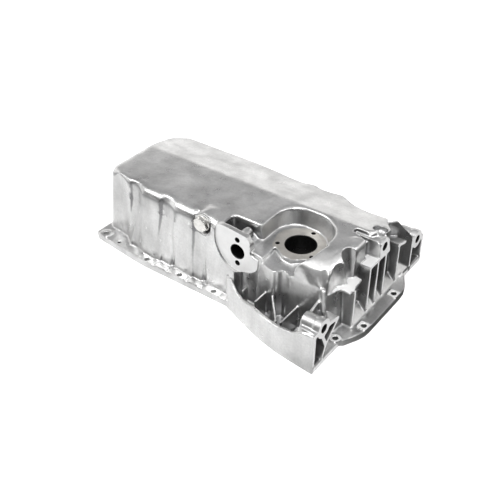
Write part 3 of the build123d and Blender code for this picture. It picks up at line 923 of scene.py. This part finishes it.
    def stocked(self, source: Mesh) -> Mesh:
        """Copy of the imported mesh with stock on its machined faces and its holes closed.

        Args:
            source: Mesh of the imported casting.

        Returns:
            A mesh of overlapping closed shells.
        """
        bm = bmesh.new()
        bm.from_mesh(source)
        bmesh.ops.remove_doubles(bm, verts=bm.verts, dist=0.002 * MM)
        pad_y = self.return_centre[1]
        near = 0.02 * MM
        for vert in bm.verts:
            x, y, z = vert.co
            if abs(z) < near:
                vert.co.z = -self.stock
            if abs(z - self.pad_top) < near and (y < -85.0 * MM or x > 178.0 * MM):
                vert.co.z = self.pad_top + self.pad_stock
            if abs(x - self.face_x) < near and z > 10.5 * MM:
                vert.co.x = self.face_x + self.stock
            if abs(y - pad_y) < near and z > 45.0 * MM:
                vert.co.y = pad_y - self.stock
        for hole in self.holes():
            hole.fill(bm)
        self.prism(bm, pad_y + 6.0 * MM, pad_y - self.stock)
        self.patched(bm)
        bowl = [(9.9, 80.0), (9.9, 100.0), (7.5, 96.5), (4.5, 94.5), (1.5, 94.0)]
        turned(bm, [(r * MM, z * MM) for r, z in bowl], upright(176.0, 32.5))
        return mesh_from(bm, "pan_stock", outward=False)

    def skinned(self, stock: Mesh) -> Mesh:
        """Round the stock into one cast skin.

        Args:
            stock: Overlapping closed shells.

        Returns:
            One smooth closed mesh.
        """
        piece = object_from(stock, "pan_skin")
        scoops = self.scoops()
        for name in ("skin", "even"):
            remesh = piece.modifiers.new(name, "REMESH")
            remesh.mode = "VOXEL"
            remesh.voxel_size = self.voxel
            if name == "skin":
                combine(piece, scoops, "DIFFERENCE")
        smooth(piece, "round", self.smooth_steps)
        dense = baked(piece, "pan_dense")
        discard(piece, scoops)
        count = sum(len(p.vertices) - 2 for p in dense.polygons)
        log.info("cast skin: %d triangles", count)
        places = rows(dense.vertices, "co")
        self.sculpt(places)
        dense.vertices.foreach_set("co", places.ravel())
        piece = object_from(dense, "pan_thin")
        group = piece.vertex_groups.new(name="soft")
        levels = 20
        shares = np.rint(self.softness(places) * levels).astype(np.int32)
        for share in range(1, levels + 1):
            group.add(np.flatnonzero(shares == share).tolist(), share / levels, "REPLACE")
        smooth(piece, "soften", self.soft_steps).vertex_group = group.name
        thin = piece.modifiers.new("thin", "DECIMATE")
        thin.ratio = min(1.0, self.triangles / count)
        mesh = baked(piece, "pan_round")
        discard(piece)
        return mesh

    def sculpt(self, places: np.ndarray) -> None:
        """Press the marks of the mould into the skin: grooves at the wall's foot and a ring on the top.

        Args:
            places: Vertex places in metres, changed where a mark is.
        """
        x, y, z = places.T / MM
        groove_top, groove_depth, ring_depth = 56.0, 2.0 * MM, 0.35 * MM
        wall = (y < -62.0) & (z > 9.6) & (z < 60.0)
        for groove_x in (-66.0, -11.0):
            width = 1.0 + 4.6 * linear(z, groove_top, 9.0)
            share = np.clip(1.0 - np.abs(x - groove_x) / width, 0.0, 1.0) * linear(z, groove_top, 48.0)
            places[wall, 1] += (share * groove_depth)[wall]
        ring = np.exp(-(((np.hypot(x + 91.0, y + 25.0) - 5.0) / 0.7) ** 2))
        top = z > 107.5
        places[top, 2] -= (ring * ring_depth)[top]

    def softness(self, places: np.ndarray) -> np.ndarray:
        """How far each place of the skin is rounded off, from 0 to 1.

        Args:
            places: Vertex places in metres.

        Returns:
            One share for each vertex.
        """
        x, y, z = places.T / MM
        sensor_x, sensor_y, _ = self.sensor_centre
        plug_x, _, plug_z = self.plug_centre
        measures = {"x": x, "y": y, "z": z}
        measures["bowl"] = np.hypot(x - sensor_x / MM, y - sensor_y / MM)
        measures["boss"] = np.hypot(x - plug_x / MM, z - plug_z / MM)
        least = 0.06
        crown = Zone(1.0 - least, (("z", 76.0, 90.0), ("x", 164.0, 150.0)))
        soft = least + crown.weight(measures)
        for zone in self.rounded:
            soft = np.maximum(soft, zone.weight(measures))
        for zone in self.crisp:
            soft = soft * (1.0 - zone.weight(measures))
        return soft

    def mills(self) -> Faces:
        """Bodies that mill the flange, the gearbox face, the return pad and the seat of the plug.

        Returns:
            The bodies, which don't touch each other.
        """
        bm = bmesh.new()
        reach = 0.3
        block(bm, (-reach, -reach, -20.0 * MM), (reach, reach, 0.0))
        block(bm, (self.face_x, -reach, self.pad_top), (0.25, reach, 0.2))
        pad_y = self.return_centre[1]
        self.prism(bm, pad_y, pad_y - 20.0 * MM)
        seat_r = 14.5 * MM
        seat = Hole(self.plug_centre, TO_FRONT, seat_r, seat_r)
        turned(bm, [(seat_r, 0.0), (seat_r, 20.0 * MM)], seat.place())
        return bm

    def pad_mills(self) -> Faces:
        """Bodies that mill the seen screw pads of the flange flat.

        Returns:
            The bodies, which don't touch each other.
        """
        bm = bmesh.new()
        low, high = self.pad_top, self.pad_top + 4.0 * MM
        outer, inner, web_inner = -102.0 * MM, -88.4 * MM, -90.4 * MM
        for k in range(3):
            x = (self.bolt_x + self.bolt_pitch * k) * MM
            block(bm, (x - 15.6 * MM, outer, low), (x + 11.6 * MM, inner, high))
            web, half = x + 27.5 * MM, 10.0 * MM if k < 2 else 4.5 * MM
            block(bm, (web - half, outer, low), (web + half, web_inner, high))
        for x, y, r in ((185.0, -77.5, 7.6), (-193.5, -82.7, 8.6)):
            turned(bm, [(r * MM, 0.0), (r * MM, 4.0 * MM)], upright(x, y, low / MM))
        return bm

    def machined(self, skin: Mesh) -> Piece:
        """Mill the faces, then drill the holes.

        Args:
            skin: The rounded cast skin.

        Returns:
            The finished piece.
        """
        piece = object_from(skin, "pan_body")
        drills = bmesh.new()
        for hole in self.holes():
            hole.cut(drills)
        cutters = []
        for bm, name in ((self.mills(), "mills"), (self.pad_mills(), "pad_mills"), (drills, "drills")):
            cutter = object_from(mesh_from(bm, name), name)
            combine(piece, cutter, "DIFFERENCE")
            cutters.append(cutter)
        mesh = baked(piece, "pan_body_mesh")
        discard(*cutters, piece)
        return object_from(mesh, "pan_body")

    def surfaces(self, mesh: Mesh) -> np.ndarray:
        """Finish of each face.

        Args:
            mesh: Mesh of the machined casting.

        Returns:
            One material slot for each face.
        """
        centre = rows(mesh.polygons, "center")
        normal = rows(mesh.polygons, "normal")
        x, y, z = centre.T
        nx, ny, nz = normal.T
        exact, loose = 0.03 * MM, 0.5 * MM
        milled = (z < exact) & (nz < -0.9)
        milled |= (np.abs(x - self.face_x) < exact) & (nx > 0.9)
        for place in (self.return_centre, self.plug_centre):
            milled |= (np.abs(y - place[1]) < exact) & (ny < -0.9)
        milled |= (np.abs(z - self.pad_top) < 2.0 * exact) & (nz > 0.95) & (x > 174.0 * MM)
        level = (nz > 0.93) & (x > 164.0 * MM)
        milled |= level & (np.abs(z - self.ledge_z) < loose) & (y > -66.0 * MM) & (y < -18.0 * MM)
        side = level & (x > 168.0 * MM) & (y > -20.0 * MM) & (y < 12.0 * MM)
        milled |= side & (np.abs(z - self.side_ledge_z) < loose)
        sensor_x, sensor_y, sensor_z = self.sensor_centre
        ring = np.hypot(x - sensor_x, y - sensor_y) < 34.5 * MM
        ring &= (np.abs(z - sensor_z) < 0.4 * MM) & (nz > 0.95)
        slot = np.full(len(centre), Surface.CAST.value, np.int32)
        slot[milled] = Surface.MACHINED.value
        slot[ring] = Surface.RING.value
        for hole in self.face_drills():
            inside = np.array(hole.place().inverted())
            local = centre @ inside[:3, :3].T + inside[:3, 3]
            radius = np.hypot(local[:, 0], local[:, 1])
            depth = local[:, 2]
            across = np.abs(normal @ np.array(hole.out, np.float32)) < 0.9
            deep = (depth < 0.1 * MM) & (depth > -hole.depth - 0.1 * MM) & (across | (depth < -1.0 * MM))
            # Hole walls get the near-black painted shade.
            slot[deep & (radius < hole.radius + hole.chamfer + 0.05 * MM)] = Surface.BORE_SHADE.value
        return slot

    def dress(self, piece: Piece) -> None:
        """Give each face its finish and each machined edge its crispness, and store the painted shade of the
        cast skin.

        Args:
            piece: The machined casting.
        """
        mesh = piece.data
        mesh.materials.clear()
        for finish in (CastSkin(), MachinedFace(), BorePaintedShade(), SealFace()):
            mesh.materials.append(finish.material())
        slot = self.surfaces(mesh)
        mesh.polygons.foreach_set("material_index", slot)
        flat = (slot == Surface.MACHINED.value) | (slot == Surface.RING.value)
        mesh.polygons.foreach_set("use_smooth", ~flat)
        mesh.set_sharp_from_angle(angle=math.radians(32.0))
        mesh.update()
        # Painted shade: how enclosed each vertex is, which darkens the cast skin's colour.
        shade_depth(mesh, 60.0 * MM, 14)
        self.paint_shade_by_place(mesh)

    def paint_shade_by_place(self, mesh: Mesh) -> None:
        """Paint shade and dark reflections into the stored enclosure attribute: painted shade on the flute
        sides and at the wall's foot, a painted dark reflection band below the rounded top edge, painted dark
        reflections on the bowl's wall and the gearbox end, and less painted shade on the near wall.

        Args:
            mesh: Mesh that has the attribute.
        """
        x, y, z = rows(mesh.vertices, "co").T / MM
        nx, _, nz = rows(mesh.vertex_normals, "vector").T
        layer = mesh.attributes["cavity"].data
        depth = rows(layer, "value", 1).ravel()
        # Less painted shade on the near wall, so that it reads lighter.
        depth[(y < -66.0) & (x < 176.0) & (z > 9.0)] *= 0.72
        # Painted shade on the flute sides that face the gearbox end, and darker towards the wall's foot.
        wall = (y < -58.0) & (x < 26.0) & (z > 11.0)
        depth[wall] += (0.50 * linear(nx, 0.25, 0.55))[wall]
        depth[wall] += (0.16 * linear(z, 24.0, 12.0))[wall]
        # Painted reflection: a dark band on the lower part of the rounded top edge, where it would mirror
        # the dark horizon.
        painted_dark_band = (y < -56.0) & (x < 76.0) & (z > 80.0)
        depth[painted_dark_band] += (0.62 * np.exp(-(((nz - 0.22) / 0.13) ** 2)))[painted_dark_band]
        # Painted reflection and shade: the bowl's wall darker where it faces the gearbox end.
        sensor_x, sensor_y, _ = self.sensor_centre
        bowl = (np.hypot(x - sensor_x / MM, y - sensor_y / MM) < 56.0) & (z > 88.0) & (nz < 0.5)
        depth[bowl] += (0.34 * linear(nx, -0.1, 0.4))[bowl]
        # Painted reflection and shade: walls at the gearbox end darker where they face it.
        end = (x > 150.0) & (y > -30.0) & (z > 11.0) & (nz < 0.6)
        depth[end] += (0.22 * linear(nx, 0.3, 0.7))[end]
        layer.foreach_set("value", np.clip(depth, 0.0, 1.0))

    def build(self, source: Piece) -> Piece:
        """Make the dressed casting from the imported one.

        Args:
            source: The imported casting.

        Returns:
            The piece that stands for it.
        """
        piece = self.machined(self.skinned(self.stocked(source.data)))
        self.dress(piece)
        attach(piece, "root")
        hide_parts("pan_casting")
        log.info("pan_body: %d faces", len(piece.data.polygons))
        return piece


@dataclass
class DrainPlug:
    """Hexagon plug with a collar and a threaded shank, seated along -y."""

    seat: Triple = (-16.0 * MM, -77.5 * MM, 97.0 * MM)
    hex_flats: float = 19.0 * MM
    collar_r: float = 11.0 * MM
    collar_t: float = 2.5 * MM
    head_h: float = 8.0 * MM
    thread_r: float = 7.0 * MM
    thread_d: float = 0.9 * MM
    shank: float = 14.0 * MM
    pitch: float = 1.5 * MM
    turn: float = 14.0
    steps: int = 96

    def head(self, bm: Faces, place: Matrix) -> None:
        """Add the hexagon head with its chamfered crown.

        Args:
            bm: Mesh that gets the head.
            place: Matrix whose z axis points out of the seat.
        """
        corner_r = self.hex_flats / math.sqrt(3.0)
        flat_r = self.hex_flats / 2.0
        top = self.head_h
        rings: list[list[bmesh.types.BMVert]] = [[], [], [], []]
        for k in range(self.steps):
            angle = 2.0 * math.pi * k / self.steps
            sector = (angle + math.pi / 6.0) % (math.pi / 3.0) - math.pi / 6.0
            edge = flat_r / math.cos(sector)
            over = (edge - flat_r) / (corner_r - flat_r)
            spin = angle + math.radians(self.turn)
            levels = (
                (edge, self.collar_t - 0.2 * MM),
                (edge, top - 1.6 * MM + 0.5 * MM * (1.0 - over)),
                (min(edge, flat_r + 0.35 * MM), top - 0.5 * MM - 0.6 * MM * max(0.0, over - 0.2)),
                (flat_r - 0.6 * MM, top),
            )
            for ring, (radius, height) in zip(rings, levels):
                point = Vector((radius * math.cos(spin), radius * math.sin(spin), height))
                ring.append(bm.verts.new(place @ point))
        close_rings(bm, rings)

    def shank_profile(self) -> Outline:
        """Radius and height of the thread, the collar and the closing faces.

        Returns:
            The profile in metres, from the tip of the shank.
        """
        r, t, root = self.collar_r, self.collar_t, self.thread_r - self.thread_d
        crest = self.thread_r - 0.02 * MM
        tip, hub = 1.0 * MM, 0.1 * MM
        profile = [(tip, -self.shank), (self.thread_r - 1.6 * MM, -self.shank)]
        height = -self.shank + 0.8 * MM
        while height < -1.6 * MM:
            profile.append((root, height))
            profile.append((crest, height + self.pitch * 0.42))
            profile.append((crest, height + self.pitch * 0.56))
            height += self.pitch
        profile += [(root, -1.2 * MM), (root, 0.0), (r - 0.3 * MM, 0.0), (r, 0.3 * MM)]
        profile += [(r, t - 0.8 * MM), (r - 0.9 * MM, t), (tip, t + hub)]
        return profile

    def build(self) -> Piece:
        """Make the plug.

        Returns:
            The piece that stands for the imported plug.
        """
        bm = bmesh.new()
        place = Hole(self.seat, TO_FRONT, self.thread_r, self.shank).place()
        turned(bm, self.shank_profile(), place, self.steps)
        self.head(bm, place)
        mesh = mesh_from(bm, "drain_plug_mesh")
        piece = object_from(mesh, "drain_plug_dressed")
        mesh.materials.append(PlatedSteel().material())
        mesh.polygons.foreach_set("use_smooth", np.ones(len(mesh.polygons), bool))
        mesh.set_sharp_from_angle(angle=math.radians(28.0))
        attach(piece, "root")
        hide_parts("drain_plug")
        log.info("drain plug: %d faces", len(mesh.polygons))
        return piece


@dataclass(frozen=True)
class Lamp:
    """A soft square lamp: its name, place in metres, side in metres and power in watts."""

    name: str
    at: Triple
    size: float
    power: float


@dataclass
class Studio:
    """Camera of the photograph, white backdrop, floor and soft lamps."""

    camera_at: Triple = (0.52573, -0.71275, 0.66796)
    forward: Triple = (-0.4776, 0.6479, -0.5934)
    side: Triple = (0.8049, 0.5934, 0.0)
    lens: float = 57.6
    metal_light: float = 1.22
    back_sky: Stops = (
        (0.5, (0.95, 0.95, 0.95)),
        (0.67, (1.0, 0.985, 0.97)),
        (0.74, (0.21, 0.21, 0.215)),
        (0.86, (0.24, 0.24, 0.245)),
        (1.0, (0.60, 0.60, 0.60)),
    )
    front_sky: Stops = (
        (0.5, (0.05, 0.05, 0.05)),
        (0.70, (0.06, 0.06, 0.06)),
        (0.80, (0.78, 0.78, 0.78)),
        (0.93, (0.74, 0.74, 0.74)),
        (1.0, (0.60, 0.60, 0.60)),
    )
    floor_colour: Triple = (0.80, 0.80, 0.80)
    # Painted reflections: the floor colour that reflected rays see towards the gearbox end, and the extra
    # glow that they see in front of the pan.
    floor_painted_dark_reflection: Triple = (0.06, 0.06, 0.06)
    floor_glow: float = 0.62
    floor_painted_reflection_glow: float = 0.24
    # Half sizes of the painted shadow patch under the pan, in metres.
    shadow_patch_radii: tuple[float, float] = (0.175, 0.085)
    lamps: tuple[Lamp, ...] = (
        Lamp("key_lamp", (-0.9, -0.7, 1.3), 0.7, 9.0),
        Lamp("side_lamp", (1.4, 0.3, 0.9), 0.6, 4.0),
        Lamp("front_lamp", (0.6, -0.9, 1.3), 0.8, 11.0),
    )

    def camera(self) -> None:
        """Set up the camera."""
        data = bpy.data.cameras.new("camera")
        data.sensor_width = 36.0
        data.lens = self.lens
        data.clip_start = 0.05
        data.clip_end = 20.0
        view = bpy.data.objects.new("camera", data)
        bpy.context.scene.collection.objects.link(view)
        forward = Vector(self.forward).normalized()
        side = Vector(self.side).normalized()
        up = side.cross(forward)
        turn = Matrix((side, up, -forward)).transposed().to_4x4()
        view.matrix_world = Matrix.Translation(Vector(self.camera_at)) @ turn
        bpy.context.scene.camera = view

    def world(self) -> None:
        """White surround for the camera, graded studio light for the metal."""
        world = bpy.data.worlds.new("studio")
        bpy.context.scene.world = world
        world.use_nodes = True
        tree = world.node_tree
        nodes, links = tree.nodes, tree.links
        coords = nodes.new("ShaderNodeTexCoord").outputs["Generated"]
        split = nodes.new("ShaderNodeSeparateXYZ")
        links.new(coords, split.inputs["Vector"])
        height = spread(tree, split.outputs["Z"], 0.0, 1.0, -1.0, 1.0)
        aim = nodes.new("ShaderNodeVectorMath")
        aim.operation = "DOT_PRODUCT"
        aim.inputs[1].default_value = Vector((self.forward[0], self.forward[1], 0.0)).normalized()
        links.new(coords, aim.inputs[0])
        behind = spread(tree, aim.outputs["Value"], 0.0, 1.0, -0.25, 0.25)
        sky = mixed(tree, behind, ramp(tree, height, self.front_sky), ramp(tree, height, self.back_sky))
        path = nodes.new("ShaderNodeLightPath")
        seen = reckon(tree, "ADD", path.outputs["Is Camera Ray"], path.outputs["Is Transmission Ray"], True)
        links.new(mixed(tree, seen, sky, grey(1.0)), nodes["Background"].inputs["Color"])
        strength = spread(tree, seen, self.metal_light, 1.0, 0.0, 1.0)
        links.new(strength, nodes["Background"].inputs["Strength"])

    def floor(self) -> None:
        """White floor with a soft shadow; a painted shadow under the pan, and painted reflections: reflected
        rays see it dark towards the far end and glowing in front.
        """
        bm = bmesh.new()
        spots = [(-1.5, -0.8), (1.5, -0.8), (1.5, 1.6), (-1.5, 1.6)]
        bm.faces.new([bm.verts.new((x, y, 0.0)) for x, y in spots])
        ground = object_from(mesh_from(bm, "floor", outward=False), "floor")
        ground.location.z = -0.4 * MM
        material, tree, shader = new_material("floor_white")
        shader.inputs["Roughness"].default_value = 0.9
        shader.inputs["Specular IOR Level"].default_value = 0.1
        shader.inputs["Emission Color"].default_value = (*grey(1.0), 1.0)
        path = tree.nodes.new("ShaderNodeLightPath").outputs
        coords = tree.nodes.new("ShaderNodeTexCoord").outputs["Object"]
        squeeze = tree.nodes.new("ShaderNodeMapping")
        squeeze.inputs["Scale"].default_value = (1.0 / self.shadow_patch_radii[0], 1.0 / self.shadow_patch_radii[1], 0.0)
        reach = tree.nodes.new("ShaderNodeVectorMath")
        reach.operation = "LENGTH"
        tree.links.new(coords, squeeze.inputs["Vector"])
        tree.links.new(squeeze.outputs["Vector"], reach.inputs[0])
        # Painted shadow: the floor doesn't glow inside the patch under the pan, so it and the view through
        # the pan's holes stay dark.
        outside = spread(tree, reach.outputs["Value"], 0.0, 1.0, 0.9, 1.1)
        # Painted reflections: reflected rays see the floor dark towards the gearbox end and glowing in
        # front.
        aside = tree.nodes.new("ShaderNodeVectorMath")
        aside.operation = "DOT_PRODUCT"
        aside.inputs[1].default_value = (0.8, 0.6, 0.0)
        tree.links.new(coords, aside.inputs[0])
        far = 0.15
        away = spread(tree, aside.outputs["Value"], 0.20, 1.0, 0.0, far)
        near = spread(tree, aside.outputs["Value"], self.floor_painted_reflection_glow, 0.0, 0.0, far)
        dim = reckon(tree, "MULTIPLY", away, path["Is Glossy Ray"])
        tree.links.new(mixed(tree, dim, self.floor_colour, self.floor_painted_dark_reflection), shader.inputs["Base Color"])
        seen = reckon(tree, "MULTIPLY", path["Is Camera Ray"], self.floor_glow)
        mirrored = reckon(tree, "MULTIPLY", path["Is Glossy Ray"], near)
        glow = reckon(tree, "MULTIPLY", reckon(tree, "ADD", seen, mirrored), outside)
        tree.links.new(glow, shader.inputs["Emission Strength"])
        ground.data.materials.append(material)

    def light(self, lamp: Lamp) -> None:
        """Add a lamp that faces the pan.

        Args:
            lamp: The lamp.
        """
        data = bpy.data.lights.new(lamp.name, "AREA")
        data.shape = "SQUARE"
        data.size = lamp.size
        data.energy = lamp.power
        light = bpy.data.objects.new(lamp.name, data)
        bpy.context.scene.collection.objects.link(light)
        target = Vector((0.0, 0.0, 0.04))
        turn = (target - Vector(lamp.at)).to_track_quat("-Z", "Y").to_matrix().to_4x4()
        light.matrix_world = Matrix.Translation(Vector(lamp.at)) @ turn

    def build(self) -> None:
        """Set up the whole studio."""
        self.camera()
        self.world()
        self.floor()
        for lamp in self.lamps:
            self.light(lamp)
        bpy.context.scene.view_settings.view_transform = "Standard"


def dress_washer() -> None:
    """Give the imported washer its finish."""
    washer = frame["nodes"]["sealing_washer"]
    washer.data.materials.clear()
    washer.data.materials.append(SoftWasher().material())
    for polygon in washer.data.polygons:
        polygon.material_index = 0
    log.info("sealing washer: finish only")


def main() -> None:
    """Build the studio and every piece in order."""
    logging.basicConfig(level=logging.INFO, format="%(name)s: %(message)s")
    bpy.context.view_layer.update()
    Studio().build()
    Casting().build(frame["nodes"]["pan_casting"])
    DrainPlug().build()
    dress_washer()


if __name__ == "__main__":
    main()
